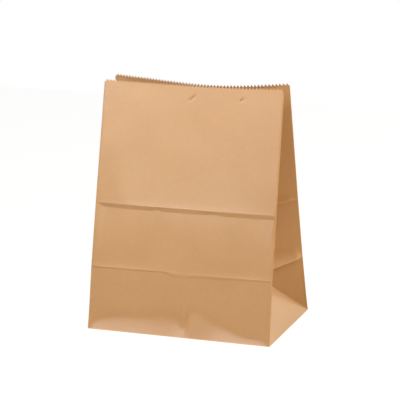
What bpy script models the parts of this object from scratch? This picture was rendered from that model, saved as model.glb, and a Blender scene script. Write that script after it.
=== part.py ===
"""Kraft paper bag with a block bottom: one creased sheet, folded, glued and standing open.

The sheet is modelled by its inner face and thickened outwards. The front faces -Y, the bag
stands on Z = 0 and the origin is under the middle of its bottom. Heights along the paper are
measured up the sheet from the bottom folds, so a leaning panel keeps its true length.
"""
import math

import bmesh
import bpy
import numpy as np

# The sheet and its folds, in metres
FRONT_WIDTH = 0.210
SIDE_DEPTH = 0.140
SHEET_HEIGHT = 0.275
PAPER = 0.00015
FOLD_RADIUS = 0.0004

# The glued lap that closes the tube, on the back panel
LAP_WIDTH = 0.015
LAP_FROM_FOLD = 0.020
LAP_EDGE = 0.0003
LAP_LAYERS = 2

# The bottom: the inner layer and, under it, two flaps
BOTTOM_LAYERS = 2
FLAP_OVERLAP = 0.020
FLAP_EDGE_INSET = 0.0003
SEAM_GAP = 0.0006

# The serrated mouth
TOOTH_PITCH = 0.0034
TOOTH_DEPTH = 0.0020
TOOTH_ROOT_MARGIN = 0.0015
MOUTH_BAND = 0.010

# How far each wall has leaned in at the low and the high crease
FRONT_IN_LOW = 0.0125
FRONT_IN_HIGH = 0.0281
BACK_IN_LOW = 0.0160
BACK_IN_HIGH = 0.0297

# The mouth: the gap between the walls at its ends, how far its middle lies behind the
# bottom's, and how much narrower each wall is there than at the bottom, on each side
MOUTH_GAP = 0.0268
MOUTH_SHIFT = 0.0032
FRONT_DRAWN_IN = 0.0020
BACK_DRAWN_IN = 0.0039

# The back wall bows in towards the front, most at this share of the width from the left,
# and the front wall's lip curls out
BACK_BOW = 0.015
BOW_PEAK = 0.59
LIP_CURL = 0.005

# Relief of the front wall: the hollow above the foot and a step under each crease
FOOT_HEIGHT = 0.022
FOOT_HOLLOW = 0.0015
LOW_STEP_HEIGHT = 0.0015
LOW_STEP = 0.0004
HIGH_STEP_HEIGHT = 0.0050
HIGH_STEP = 0.0012
STEP_FADE = 0.010

# How finely the paper is divided
WALL_COLUMNS = 16
GUSSET_COLUMNS = 6
FOLD_STEPS = 4
UPPER_ROWS = 4

KRAFT_COLOUR = (0.62, 0.37, 0.19, 1.0)
KRAFT_ROUGHNESS = 0.85

# Worked out from the sizes above
HALF_DEPTH = SIDE_DEPTH / 2
LOW_CREASE = HALF_DEPTH
HIGH_CREASE = SIDE_DEPTH
FLOOR = BOTTOM_LAYERS * PAPER
FLAP_TOP = FLOOR - PAPER / 2
SHEET_LEVELS = (0.0, LOW_CREASE, HIGH_CREASE, SHEET_HEIGHT)


def rise_of(length, inward):
    """Height that a flat panel gains when it leans inward by the given amount."""
    return math.sqrt(length ** 2 - inward ** 2)


def wall_heights(wall_y):
    """Height of each level of a wall, from its place front to back at each level."""
    heights = [FLOOR]
    for level in range(1, len(SHEET_LEVELS)):
        length = SHEET_LEVELS[level] - SHEET_LEVELS[level - 1]
        heights.append(heights[-1] + rise_of(length, wall_y[level] - wall_y[level - 1]))
    return heights


FRONT_Y = (-HALF_DEPTH, FRONT_IN_LOW - HALF_DEPTH, FRONT_IN_HIGH - HALF_DEPTH,
           MOUTH_SHIFT - MOUTH_GAP / 2)
BACK_Y = (HALF_DEPTH, HALF_DEPTH - BACK_IN_LOW, HALF_DEPTH - BACK_IN_HIGH,
          MOUTH_SHIFT + MOUTH_GAP / 2)
FRONT_Z = wall_heights(FRONT_Y)
BACK_Z = wall_heights(BACK_Y)
FRONT_HALF = (FRONT_WIDTH / 2, FRONT_WIDTH / 2 - FRONT_DRAWN_IN)
BACK_HALF = (FRONT_WIDTH / 2, FRONT_WIDTH / 2 - BACK_DRAWN_IN)
WHOLE_SHEET = (0.0, SHEET_HEIGHT)
TOP_LENGTH = SHEET_HEIGHT - HIGH_CREASE

RELIEF_HEIGHTS = (0.0, FOOT_HEIGHT, LOW_CREASE - LOW_STEP_HEIGHT, LOW_CREASE,
                  HIGH_CREASE - HIGH_STEP_HEIGHT, HIGH_CREASE, SHEET_HEIGHT)
RELIEF_INWARD = (0.0, FOOT_HOLLOW, LOW_STEP / 2, -LOW_STEP / 2, HIGH_STEP / 2, -HIGH_STEP / 2, 0.0)


def circle_meet(centre, radius, start, length):
    """Where a fold of the given length from start meets the circle, on its upper side."""
    run = start[0] - centre[0]
    climb = start[1] - centre[1]
    apart = math.hypot(run, climb)
    along = (apart ** 2 + radius ** 2 - length ** 2) / (2 * apart)
    aside = math.sqrt(radius ** 2 - along ** 2)
    unit = (run / apart, climb / apart)
    return (centre[0] + along * unit[0] - aside * unit[1],
            centre[1] + along * unit[1] + aside * unit[0])


def centre_fold_levels():
    """Inset and height of the gussets' centre fold at each crease and at the mouth.

    Each half of a gusset is as wide as half the depth, and stays that wide, so the gap
    between front and back sets how far in the centre fold is drawn.
    """
    half_gap = (BACK_Y[1] - FRONT_Y[1]) / 2
    crease_z = (BACK_Z[1] + FRONT_Z[1]) / 2 - FLOOR
    apex_z = (half_gap ** 2 + crease_z ** 2) / (2 * crease_z)
    points = [(0.0, FLOOR), (rise_of(HALF_DEPTH, apex_z), FLOOR + apex_z)]
    for level in (2, 3):
        half_gap = (BACK_Y[level] - FRONT_Y[level]) / 2
        edge = (0.0, (BACK_Z[level] + FRONT_Z[level]) / 2)
        reach = rise_of(HALF_DEPTH, half_gap)
        length = SHEET_LEVELS[level] - SHEET_LEVELS[level - 1]
        points.append(circle_meet(edge, reach, points[-1], length))
    return points


CENTRE_INSET = [point[0] for point in centre_fold_levels()]
CENTRE_Z = [point[1] for point in centre_fold_levels()]


def mouth_share(height):
    """0 up to the high crease, growing to 1 at the mouth."""
    return max(0.0, (height - HIGH_CREASE) / TOP_LENGTH)


def skewed_arch(across):
    """0 at both sides of a wall, 1 at the bow's peak."""
    power = math.log(0.5) / math.log(BOW_PEAK)
    return math.sin(math.pi * min(max(across, 0.0), 1.0) ** power)


def share_across(x, half_width):
    return (x / half_width + 1) / 2


def front_half_width(height):
    return np.interp(height, WHOLE_SHEET, FRONT_HALF)


def back_half_width(height):
    return np.interp(height, WHOLE_SHEET, BACK_HALF)


def lip_offset(x, height):
    """How far the front wall's lip stands out at this place."""
    arch = skewed_arch(share_across(x, front_half_width(height)))
    return -LIP_CURL * arch * mouth_share(height) ** 2


def bow_offset(x, height):
    """How far the back wall bows in at this place."""
    arch = skewed_arch(share_across(x, back_half_width(height)))
    return -BACK_BOW * arch * mouth_share(height)


def bow_drop(x):
    """How much lower the bowed back wall's top lies here, as its paper doesn't stretch."""
    lean = BACK_Y[2] - BACK_Y[3]
    leaned_more = lean - bow_offset(x, SHEET_HEIGHT)
    return rise_of(TOP_LENGTH, lean) - rise_of(TOP_LENGTH, leaned_more)


def front_relief(x, height):
    """Inward depth of the foot's hollow and of the steps, which fade out at the sides."""
    from_side = front_half_width(height) - abs(x)
    fade = min(1.0, max(0.0, from_side / STEP_FADE))
    return fade * np.interp(height, RELIEF_HEIGHTS, RELIEF_INWARD)


def front_point(share, height):
    half = front_half_width(height) - fold_radius(height)
    x = (2 * share - 1) * half
    y = np.interp(height, SHEET_LEVELS, FRONT_Y) + lip_offset(x, height) + front_relief(x, height)
    return (x, y, np.interp(height, SHEET_LEVELS, FRONT_Z))


def back_point(share, height):
    half = back_half_width(height) - fold_radius(height)
    x = (1 - 2 * share) * half
    y = np.interp(height, SHEET_LEVELS, BACK_Y) + bow_offset(x, height)
    z = np.interp(height, SHEET_LEVELS, BACK_Z) - bow_drop(x) * mouth_share(height)
    return (x, y, z)


def fold_radius(height):
    """Inner radius of the upright folds, which close to a point at the bottom's corners."""
    return FOLD_RADIUS * min(1.0, height / FOOT_HEIGHT)


def centre_fold(side, height):
    """Place of a gusset's centre fold: X, Y and Z. Side is 1 on the right, -1 on the left."""
    half = (front_half_width(height) + back_half_width(height)) / 2
    x = side * (half - np.interp(height, SHEET_LEVELS, CENTRE_INSET))
    front = np.interp(height, SHEET_LEVELS, FRONT_Y) + lip_offset(x, height)
    back = np.interp(height, SHEET_LEVELS, BACK_Y) + bow_offset(x, height)
    return (x, (front + back) / 2, np.interp(height, SHEET_LEVELS, CENTRE_Z))


def wall_edge(face, height):
    """Half width, Y, Z and inward direction of a wall's side edge."""
    if face == "front":
        return (front_half_width(height), np.interp(height, SHEET_LEVELS, FRONT_Y),
                np.interp(height, SHEET_LEVELS, FRONT_Z), 1)
    return (back_half_width(height), np.interp(height, SHEET_LEVELS, BACK_Y),
            np.interp(height, SHEET_LEVELS, BACK_Z), -1)


def gusset_angle(side, face, height):
    """Angle in plan between a wall and the gusset half that is folded in behind it."""
    level = max(height, LOW_CREASE)
    half, edge_y, _, inward = wall_edge(face, level)
    fold_x, fold_y, _ = centre_fold(side, level)
    return math.atan2(inward * (fold_y - edge_y), half - side * fold_x)


def corner_fold_point(side, face, share, height):
    """Round fold between a wall and its gusset half; share 0 is at the wall."""
    half, edge_y, z, inward = wall_edge(face, height)
    radius = fold_radius(height)
    turn = share * (math.pi - gusset_angle(side, face, height)) - math.pi / 2
    x = half - radius + radius * math.cos(turn)
    return (side * x, edge_y + inward * radius * (1 + math.sin(turn)), z)


def centre_fold_point(side, share, height):
    """Round fold down the middle of a gusset; share 0 is at its front half."""
    x, y, z = centre_fold(side, height)
    radius = fold_radius(height)
    start = gusset_angle(side, "front", height) - math.pi / 2
    end = math.pi / 2 - gusset_angle(side, "back", height)
    turn = start + share * (end - start)
    return (x + side * radius * (1 - math.cos(turn)), y + radius * math.sin(turn), z)


def gusset_half_point(side, face, share, height):
    """Half of a gusset; share 0 is at the wall. It follows the wall's bow."""
    outer = corner_fold_point(side, face, 1.0, height)
    inner = centre_fold_point(side, 0.0 if face == "front" else 1.0, height)
    x, y, z = (a + (b - a) * share for a, b in zip(outer, inner))
    offset = lip_offset if face == "front" else bow_offset
    return (x, y + offset(x, height) - share * offset(inner[0], height), z)


def even_shares(count):
    return [step / count for step in range(count + 1)]


def tooth_count(width):
    return max(2, round(width / TOOTH_PITCH))


def lap_shares():
    """Shares across the back wall of the lap's two edges, each on a notch between teeth."""
    teeth = tooth_count(FRONT_WIDTH)
    near = round(LAP_FROM_FOLD / FRONT_WIDTH * teeth) / teeth
    far = round((LAP_FROM_FOLD + LAP_WIDTH) / FRONT_WIDTH * teeth) / teeth
    return near, far


def with_lap_edges(shares):
    """Adds the lap's edges to the back wall's columns, each with one just inside the lap."""
    near, far = lap_shares()
    inside = LAP_EDGE / FRONT_WIDTH
    return sorted(set(shares) | {near, near + inside, far - inside, far})


def panel_list():
    """Each strip of the sheet in turn: its name, a point on it, its columns and its teeth.

    They run round the bag from the fold at the front wall's left side, so that the outside
    is on the right of the way they go.
    """
    wall = even_shares(WALL_COLUMNS)
    gusset = even_shares(GUSSET_COLUMNS)
    fold = even_shares(FOLD_STEPS)
    wall_teeth = tooth_count(FRONT_WIDTH)
    gusset_teeth = tooth_count(HALF_DEPTH)

    def strip(name, point, columns, teeth=0):
        fine = even_shares(2 * teeth) if teeth else columns
        if name == "back":
            columns = with_lap_edges(columns)
            fine = with_lap_edges(fine)
        return {"name": name, "point": point, "columns": columns, "fine": fine, "teeth": teeth}

    def corner(side, face, backwards):
        return lambda s, h: corner_fold_point(side, face, 1 - s if backwards else s, h)

    def half(side, face, backwards):
        return lambda s, h: gusset_half_point(side, face, 1 - s if backwards else s, h)

    def centre(side, backwards):
        return lambda s, h: centre_fold_point(side, 1 - s if backwards else s, h)

    return [
        strip("front left fold", corner(-1, "front", True), fold),
        strip("front", front_point, wall, wall_teeth),
        strip("front right fold", corner(1, "front", False), fold),
        strip("right gusset front", half(1, "front", False), gusset, gusset_teeth),
        strip("right centre fold", centre(1, False), fold),
        strip("right gusset back", half(1, "back", True), gusset, gusset_teeth),
        strip("back right fold", corner(1, "back", True), fold),
        strip("back", back_point, wall, wall_teeth),
        strip("back left fold", corner(-1, "back", False), fold),
        strip("left gusset back", half(-1, "back", False), gusset, gusset_teeth),
        strip("left centre fold", centre(-1, True), fold),
        strip("left gusset front", half(-1, "front", True), gusset, gusset_teeth),
    ]


FRONT_STRIPS = slice(0, 3)
RIGHT_STRIPS = slice(3, 6)
BACK_STRIPS = slice(6, 9)
LEFT_STRIPS = slice(9, 12)


def edge_height(teeth, share):
    """Height of the cut edge: a tip in the middle of each tooth, a notch at its sides."""
    if not teeth:
        return SHEET_HEIGHT - TOOTH_DEPTH
    along = (share * teeth) % 1.0
    return SHEET_HEIGHT - TOOTH_DEPTH * abs(2 * along - 1)


def in_lap(panel, share, height):
    near, far = lap_shares()
    inside = LAP_EDGE / FRONT_WIDTH
    within = near + inside / 2 < share < far - inside / 2
    return panel["name"] == "back" and within and height > 0


class Sheet:
    """The open surface of the paper, built row by row."""

    def __init__(self):
        self.bm = bmesh.new()
        self.lap_weight = self.bm.verts.layers.deform.verify()

    def vertex(self, panel, share, height):
        vertex = self.bm.verts.new(panel["point"](share, height))
        if in_lap(panel, share, height):
            vertex[self.lap_weight][0] = 1.0
        return vertex

    def row(self, panels, height=None, fine=False, closed=True):
        """Vertices across each panel at a height, or along the cut edge where none is given.

        Neighbouring panels share the vertex between them.
        """
        parts = []
        for panel in panels:
            part = []
            for share in panel["fine" if fine else "columns"][:-1]:
                up = edge_height(panel["teeth"], share) if height is None else height
                part.append((share, self.vertex(panel, share, up)))
            parts.append(part)
        for part, following in zip(parts, parts[1:]):
            part.append((1.0, following[0][1]))
        end = parts[0][0][1] if closed else self.vertex(panels[-1], 1.0, height)
        parts[-1].append((1.0, end))
        return parts

    def ground_row(self, panels):
        """A wall's lowest row, where the folds at its two sides close to its end vertices."""
        wall = [(share, self.vertex(panels[1], share, 0.0)) for share in panels[1]["columns"]]
        first = wall[0][1]
        last = wall[-1][1]
        return [[(0.0, first), (1.0, first)], wall, [(0.0, last), (1.0, last)]]

    def face(self, vertices):
        """A face, or none where its corners have run together."""
        distinct = [v for i, v in enumerate(vertices) if v is not vertices[i - 1]]
        if len(distinct) > 2:
            self.bm.faces.new(distinct)

    def join_panel(self, lower, upper):
        """Triangles between two rows of one panel, whose columns may differ."""
        low = high = 0
        beyond = 2.0
        while low < len(lower) - 1 or high < len(upper) - 1:
            next_low = lower[low + 1][0] if low < len(lower) - 1 else beyond
            next_high = upper[high + 1][0] if high < len(upper) - 1 else beyond
            if next_low <= next_high:
                self.face([lower[low][1], lower[low + 1][1], upper[high][1]])
                low += 1
            else:
                self.face([lower[low][1], upper[high + 1][1], upper[high][1]])
                high += 1

    def join(self, lower, upper):
        for lower_panel, upper_panel in zip(lower, upper):
            self.join_panel(lower_panel, upper_panel)

    def lower_wall(self, panels, crease_row):
        """A wall and its side folds from the low crease to the ground. Returns its rows."""
        rows = [crease_row]
        for height in (LOW_CREASE - LOW_STEP_HEIGHT, FOOT_HEIGHT):
            rows.append(self.row(panels, height, closed=False))
        rows.append(self.ground_row(panels))
        for upper, lower in zip(rows, rows[1:]):
            self.join(lower, upper)
        return rows

    def lower_side(self, wall_before, crease_row, wall_after):
        """A gusset below the low crease: two upright triangles and the bottom's triangle.

        The bottom's triangle leans in from the ground to where the centre fold starts.
        """
        half_before, centre, half_after = ([v for _, v in part] for part in crease_row)
        edge_before = [row[-1][-1][1] for row in wall_before[1:]]
        edge_after = [row[0][0][1] for row in wall_after[1:]]
        corner_before = edge_before[-1]
        corner_after = edge_after[-1]
        self.face([corner_before] + half_before[::-1] + edge_before[:-1])
        self.face(edge_after[::-1] + half_after[::-1])
        middle = len(centre) // 2
        for first, second in zip(centre[:middle], centre[1:middle + 1]):
            self.face([corner_before, second, first])
        self.face([corner_before, corner_after, centre[middle]])
        for first, second in zip(centre[middle:], centre[middle + 1:]):
            self.face([corner_after, second, first])

    def bottom(self, front_rows, back_rows):
        outline = [v for _, v in front_rows[-1][1]] + [v for _, v in back_rows[-1][1]]
        self.face(outline[::-1])

    def finished(self):
        """The mesh, with all its faces made triangles."""
        bmesh.ops.triangulate(self.bm, faces=self.bm.faces[:])
        mesh = bpy.data.meshes.new("paper_bag")
        self.bm.to_mesh(mesh)
        self.bm.free()
        return mesh


def folded_sheet():
    """The whole folded sheet as an open surface, its bottom flaps apart."""
    panels = panel_list()
    sheet = Sheet()
    low_ring = sheet.row(panels, LOW_CREASE)
    front_rows = sheet.lower_wall(panels[FRONT_STRIPS], low_ring[FRONT_STRIPS])
    back_rows = sheet.lower_wall(panels[BACK_STRIPS], low_ring[BACK_STRIPS])
    sheet.lower_side(front_rows, low_ring[RIGHT_STRIPS], back_rows)
    sheet.lower_side(back_rows, low_ring[LEFT_STRIPS], front_rows)
    sheet.bottom(front_rows, back_rows)

    tooth_foot = SHEET_HEIGHT - TOOTH_DEPTH - TOOTH_ROOT_MARGIN
    upper_end = SHEET_HEIGHT - MOUTH_BAND
    heights = [HIGH_CREASE - HIGH_STEP_HEIGHT, HIGH_CREASE]
    for step in range(1, UPPER_ROWS + 1):
        heights.append(HIGH_CREASE + (upper_end - HIGH_CREASE) * step / UPPER_ROWS)
    below = low_ring
    for height in heights:
        ring = sheet.row(panels, height)
        sheet.join(below, ring)
        below = ring
    foot_ring = sheet.row(panels, tooth_foot, fine=True)
    edge_ring = sheet.row(panels, fine=True)
    sheet.join(below, foot_ring)
    sheet.join(foot_ring, edge_ring)
    return sheet.finished()


def kraft_material():
    material = bpy.data.materials.new("kraft_paper")
    material.use_nodes = True
    shader = material.node_tree.nodes["Principled BSDF"]
    shader.inputs["Base Color"].default_value = KRAFT_COLOUR
    shader.inputs["Roughness"].default_value = KRAFT_ROUGHNESS
    shader.inputs["Metallic"].default_value = 0.0
    return material


def collection_named(name):
    collection = bpy.data.collections.new(name)
    bpy.context.scene.collection.children.link(collection)
    return collection


def bottom_flap(name, collection, fold_y, free_y):
    """A bottom flap, slanted at both ends by the folds that run in from the corners.

    It reaches up into the bottom's own layer, so that the two become one.
    """
    reach = abs(free_y - fold_y)
    half = FRONT_WIDTH / 2 - FLAP_EDGE_INSET
    towards = 1 if free_y > fold_y else -1
    start = fold_y + towards * FLAP_EDGE_INSET
    outline = [(-half, start), (half, start), (half - reach, free_y), (reach - half, free_y)]
    bm = bmesh.new()
    face = bm.faces.new([bm.verts.new((x, y, 0.0)) for x, y in outline])
    raised = bmesh.ops.extrude_face_region(bm, geom=[face])
    upper = [item for item in raised["geom"] if isinstance(item, bmesh.types.BMVert)]
    bmesh.ops.translate(bm, verts=upper, vec=(0.0, 0.0, FLAP_TOP))
    bmesh.ops.recalc_face_normals(bm, faces=bm.faces[:])
    mesh = bpy.data.meshes.new(name)
    bm.to_mesh(mesh)
    bm.free()
    flap = bpy.data.objects.new(name, mesh)
    flap.hide_render = True
    flap.display_type = "WIRE"
    collection.objects.link(flap)
    return flap


def paper_bag(collection, guides):
    bag = bpy.data.objects.new("paper_bag", folded_sheet())
    collection.objects.link(bag)
    bag.data.materials.append(kraft_material())
    lap = bag.vertex_groups.new(name="lap")

    thickness = bag.modifiers.new("paper", "SOLIDIFY")
    thickness.thickness = LAP_LAYERS * PAPER
    thickness.offset = 1.0
    thickness.use_even_offset = True
    thickness.use_quality_normals = True
    thickness.vertex_group = lap.name
    thickness.thickness_vertex_group = 1 / LAP_LAYERS

    seam_y = -FLAP_OVERLAP / 2
    flaps = (bottom_flap("back_flap", guides, HALF_DEPTH, seam_y),
             bottom_flap("front_flap", guides, -HALF_DEPTH, seam_y - SEAM_GAP))
    for flap in flaps:
        union = bag.modifiers.new(flap.name, "BOOLEAN")
        union.operation = "UNION"
        union.object = flap
    return bag


def main():
    for old in list(bpy.data.objects):
        bpy.data.objects.remove(old, do_unlink=True)
    paper_bag(collection_named("kraft_paper_bag"), collection_named("bottom_flaps"))


main()
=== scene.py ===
# %% [markdown]
# # A block-bottom bread bag of brown kraft paper
#
# The real bag is one sheet of kraft paper, closed into a tube by a glued lap, creased all round at
# two heights, folded shut at the bottom and cut to a zigzag at the mouth. The imported CAD part gives
# its size and place. This script gives its look: soft folds, creases drawn paler as wear and as a
# painted highlight, small dents, a serrated edge and a paper material. We first load the imported
# part.

# %% Load the imported part
import math

import bmesh
import bpy
import numpy as np
from mathutils import Matrix, Vector


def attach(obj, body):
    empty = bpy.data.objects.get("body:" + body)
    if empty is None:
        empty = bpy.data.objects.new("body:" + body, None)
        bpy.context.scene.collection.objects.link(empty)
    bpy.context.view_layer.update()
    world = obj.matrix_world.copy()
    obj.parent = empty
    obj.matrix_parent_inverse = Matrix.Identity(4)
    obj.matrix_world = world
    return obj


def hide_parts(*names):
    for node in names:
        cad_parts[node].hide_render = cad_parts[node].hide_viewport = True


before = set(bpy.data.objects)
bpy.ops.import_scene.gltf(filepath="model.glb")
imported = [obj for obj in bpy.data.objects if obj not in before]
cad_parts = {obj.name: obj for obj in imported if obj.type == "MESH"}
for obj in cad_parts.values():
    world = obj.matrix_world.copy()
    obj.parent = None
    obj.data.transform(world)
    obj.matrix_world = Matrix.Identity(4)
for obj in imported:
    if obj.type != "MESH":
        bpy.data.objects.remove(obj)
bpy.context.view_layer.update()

# %% [markdown]
# ## The camera
#
# A photograph's camera can be found again from corners whose real places are known. Thirteen
# corners and crease ends gave the place, the direction and the lens below, with less than a pixel
# of error. We build the camera's turn from three axes that are square to each other.

# %% Camera at the photograph's angle
SENSOR_MM = 36.0
CAMERA_PLACE = (0.7161, -1.9306, 0.6552)
CAMERA_AZIMUTH = math.radians(-20.28)
CAMERA_DIP = math.radians(14.13)
CAMERA_ROLL = math.radians(-0.74)
FOCAL_PIXELS = 1931.2
PHOTO_PIXELS = 400


def new_object(name, data):
    made = bpy.data.objects.new(name, data)
    bpy.context.scene.collection.objects.link(made)
    return made


def camera_turn(azimuth, dip, roll):
    flat = math.cos(dip)
    forward = Vector((math.sin(azimuth) * flat, math.cos(azimuth) * flat, -math.sin(dip)))
    right = Vector((math.cos(azimuth), -math.sin(azimuth), 0.0))
    up = right.cross(forward)
    rolled_right = math.cos(roll) * right + math.sin(roll) * up
    rolled_up = math.cos(roll) * up - math.sin(roll) * right
    return Matrix((rolled_right, rolled_up, -forward)).transposed()


def photo_camera():
    data = bpy.data.cameras.new("photo_camera")
    data.sensor_width = SENSOR_MM
    data.lens = FOCAL_PIXELS / PHOTO_PIXELS * SENSOR_MM
    camera = new_object("photo_camera", data)
    turn = camera_turn(CAMERA_AZIMUTH, CAMERA_DIP, CAMERA_ROLL)
    camera.matrix_world = Matrix.Translation(CAMERA_PLACE) @ turn.to_4x4()
    bpy.context.scene.camera = camera
    return camera


camera = photo_camera()
print("Lens in mm:", round(camera.data.lens, 1))

# %% [markdown]
# ## Writing node trees as sums
#
# Materials and Geometry Nodes are both trees of nodes. Wiring each Math node by hand hides the
# formula, so one small class wraps a socket and turns Python's operators into Math nodes. Its
# `node` method makes every other kind.

# %% One class for all nodes
class Wire:
    """A socket of a node tree. Sums on it add Math nodes."""

    def __init__(self, tree, socket=None):
        self.tree = tree
        self.socket = socket

    def node(self, kind, sockets=None, out=0, **settings):
        """Adds a node, sets it up, fills its sockets and returns one of its outputs."""
        made = self.tree.nodes.new(kind)
        for name, value in settings.items():
            setattr(made, name, value)
        for key, value in (sockets or {}).items():
            if isinstance(value, Wire):
                self.tree.links.new(value.socket, made.inputs[key])
            else:
                made.inputs[key].default_value = value
        return Wire(self.tree, made.outputs[out] if len(made.outputs) else None)

    def maths(self, operation, *values):
        return self.node("ShaderNodeMath", dict(enumerate(values)), operation=operation)

    def __add__(self, other):
        return self.maths("ADD", self, other)

    def __radd__(self, other):
        return self.maths("ADD", other, self)

    def __sub__(self, other):
        return self.maths("SUBTRACT", self, other)

    def __rsub__(self, other):
        return self.maths("SUBTRACT", other, self)

    def __mul__(self, other):
        return self.maths("MULTIPLY", self, other)

    def __truediv__(self, other):
        return self.maths("DIVIDE", self, other)

    def __rtruediv__(self, other):
        return self.maths("DIVIDE", other, self)

    def __abs__(self):
        return self.maths("ABSOLUTE", self)


def empty_tree(owner):
    """Clears the nodes of a material or a world."""
    owner.use_nodes = True
    owner.node_tree.nodes.clear()
    return Wire(owner.node_tree)


def new_material(name):
    material = bpy.data.materials.new(name)
    return material, empty_tree(material)


# %% [markdown]
# ## Floor, backdrop and light
#
# The photograph has a pure white ground. World and floor are white only for the camera's own rays,
# so they add no light to the bag. The floor keeps a part that takes shadow, so the bag still stands
# on something.
#
# Four soft lamps light the bag. The front one stands where the leaning paper mirrors it to the
# camera, so panels that lean back more, such as the top and the foot, get a pale sheen. The top one
# makes the mouth brighter than the foot. A warm one on the right draws the creases of the gusset.
# The last is behind on the right. It lights the bottom's triangle, and reaches the visible half of
# the gusset only by way of the other half, as deep orange light.

# %% Pale floor and white world
FLOOR_HALF = 1.2
FLOOR_COLOUR = (0.84, 0.75, 0.62, 1.0)
FLOOR_OWN_WHITE = 0.86
FLOOR_GLOW = 1.12
WORLD_LEVEL = 0.03
WHITE = (1.0, 1.0, 1.0, 1.0)


def seen_rays(start):
    """1 for the camera's own rays and 0 for those that light the bag."""
    return start.node("ShaderNodeLightPath", out="Is Camera Ray")


def floor_material():
    material, start = new_material("pale_floor")
    lit = start.node("ShaderNodeBsdfDiffuse", {"Color": FLOOR_COLOUR})
    white = start.node("ShaderNodeEmission", {"Color": WHITE, "Strength": FLOOR_GLOW})
    share = seen_rays(start) * FLOOR_OWN_WHITE
    mixed = start.node("ShaderNodeMixShader", {0: share, 1: lit, 2: white})
    start.node("ShaderNodeOutputMaterial", {"Surface": mixed})
    return material


def white_world():
    world = bpy.data.worlds.new("white_world")
    start = empty_tree(world)
    strength = seen_rays(start) * (1.0 - WORLD_LEVEL) + WORLD_LEVEL
    light = start.node("ShaderNodeBackground", {"Color": WHITE, "Strength": strength})
    start.node("ShaderNodeOutputWorld", {"Surface": light})
    bpy.context.scene.world = world


def pale_floor():
    mesh = bpy.data.meshes.new("floor")
    corners = [(x * FLOOR_HALF, y * FLOOR_HALF, 0.0)
               for x, y in ((-1, -1), (1, -1), (1, 1), (-1, 1))]
    mesh.from_pydata(corners, [], [(0, 1, 2, 3)])
    mesh.materials.append(floor_material())
    floor = new_object("floor", mesh)


white_world()
pale_floor()
bpy.context.scene.view_settings.view_transform = "Standard"

# %% Four soft lamps
LAMP_AIM = Vector((0.0, 0.0, 0.13))


def soft_lamp(name, azimuth, height_angle, distance, size, watts, colour):
    """A round lamp that looks at the bag. Azimuth 0 is in front and 90 on the right."""
    round_by, up_by = math.radians(azimuth), math.radians(height_angle)
    flat = math.cos(up_by)
    away = Vector((math.sin(round_by) * flat, -math.cos(round_by) * flat, math.sin(up_by)))
    data = bpy.data.lights.new(name, "AREA")
    data.shape = "DISK"
    data.size = size
    data.energy = watts
    data.color = colour
    lamp = new_object(name, data)
    turn = (-away).to_track_quat("-Z", "Y").to_matrix().to_4x4()
    lamp.matrix_world = Matrix.Translation(LAMP_AIM + away * distance) @ turn
    lamp.visible_camera = False
    return lamp


lamps = [
    soft_lamp("front_lamp", -20, 40, 0.75, 0.6, 3.8, (0.98, 1.0, 1.06)),
    soft_lamp("top_lamp", 20, 64, 0.75, 0.6, 2.0, (1.0, 0.96, 0.88)),
    soft_lamp("side_lamp", 85, 34, 1.2, 0.8, 4.7, (1.0, 0.81, 0.50)),
    soft_lamp("back_lamp", 140, 22, 1.2, 0.9, 7.6, (1.0, 0.95, 0.80))]
print("Lamps in W:", {lamp.name: round(lamp.data.energy, 1) for lamp in lamps})

# %% [markdown]
# ## The sheet's sizes
#
# Paper bends but doesn't stretch. So the shape follows from lengths on the flat sheet, and from how
# far each wall leans at each crease. We use the same numbers as the CAD part: the sheet is 210 mm
# wide in front, 140 mm deep and 275 mm high, with creases at half and at the whole of its depth.
#
# A place on the paper is given by its height up the sheet, not by its height in the room. A panel
# that leans keeps its true length that way.

# %% Lengths of the flat sheet and lean of the walls
FRONT_WIDTH = 0.210
SIDE_DEPTH = 0.140
SHEET_HEIGHT = 0.275
PAPER = 0.00015
HALF_DEPTH = SIDE_DEPTH / 2
LOW_CREASE = HALF_DEPTH
HIGH_CREASE = SIDE_DEPTH
BOTTOM_TOP = 2 * PAPER
LEVELS = (0.0, LOW_CREASE, HIGH_CREASE, SHEET_HEIGHT)
FRONT_Y = (-0.070, -0.0575, -0.0419, -0.0102)
BACK_Y = (0.070, 0.0540, 0.0403, 0.0166)
FRONT_HALF = (0.1050, 0.1030)
BACK_HALF = (0.1050, 0.1011)


def rise_of(length, inward):
    """Height that a flat panel gains when it leans inward by the given amount."""
    return math.sqrt(length ** 2 - inward ** 2)


def wall_heights(wall_y):
    heights = [BOTTOM_TOP]
    for level in range(1, len(LEVELS)):
        length = LEVELS[level] - LEVELS[level - 1]
        heights.append(heights[-1] + rise_of(length, wall_y[level] - wall_y[level - 1]))
    return heights


def at_height(values, height):
    """Reads a value that changes evenly between the creases, or from bottom to mouth."""
    levels = LEVELS if len(values) == len(LEVELS) else (0.0, SHEET_HEIGHT)
    return float(np.interp(height, levels, values))


FRONT_Z = wall_heights(FRONT_Y)
BACK_Z = wall_heights(BACK_Y)
print("Mouth in mm above the floor, front and back:",
      round(FRONT_Z[-1] * 1000, 1), round(BACK_Z[-1] * 1000, 1))

# %% [markdown]
# ## Where the gussets fold in
#
# Each side is pleated inwards along its centre. Half of the pleat is always half the bag's depth
# wide, so the closer the walls lean together, the deeper the centre fold is drawn in. Each crease
# point of that fold lies where two lengths meet, like a point found with compasses.

# %% The centre fold of the gussets
def circle_meet(centre, radius, start, length):
    """Where a fold of the given length from start meets the circle, on its upper side."""
    run = start[0] - centre[0]
    climb = start[1] - centre[1]
    apart = math.hypot(run, climb)
    along = (apart ** 2 + radius ** 2 - length ** 2) / (2 * apart)
    aside = math.sqrt(radius ** 2 - along ** 2)
    return (centre[0] + (along * run - aside * climb) / apart,
            centre[1] + (along * climb + aside * run) / apart)


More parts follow.
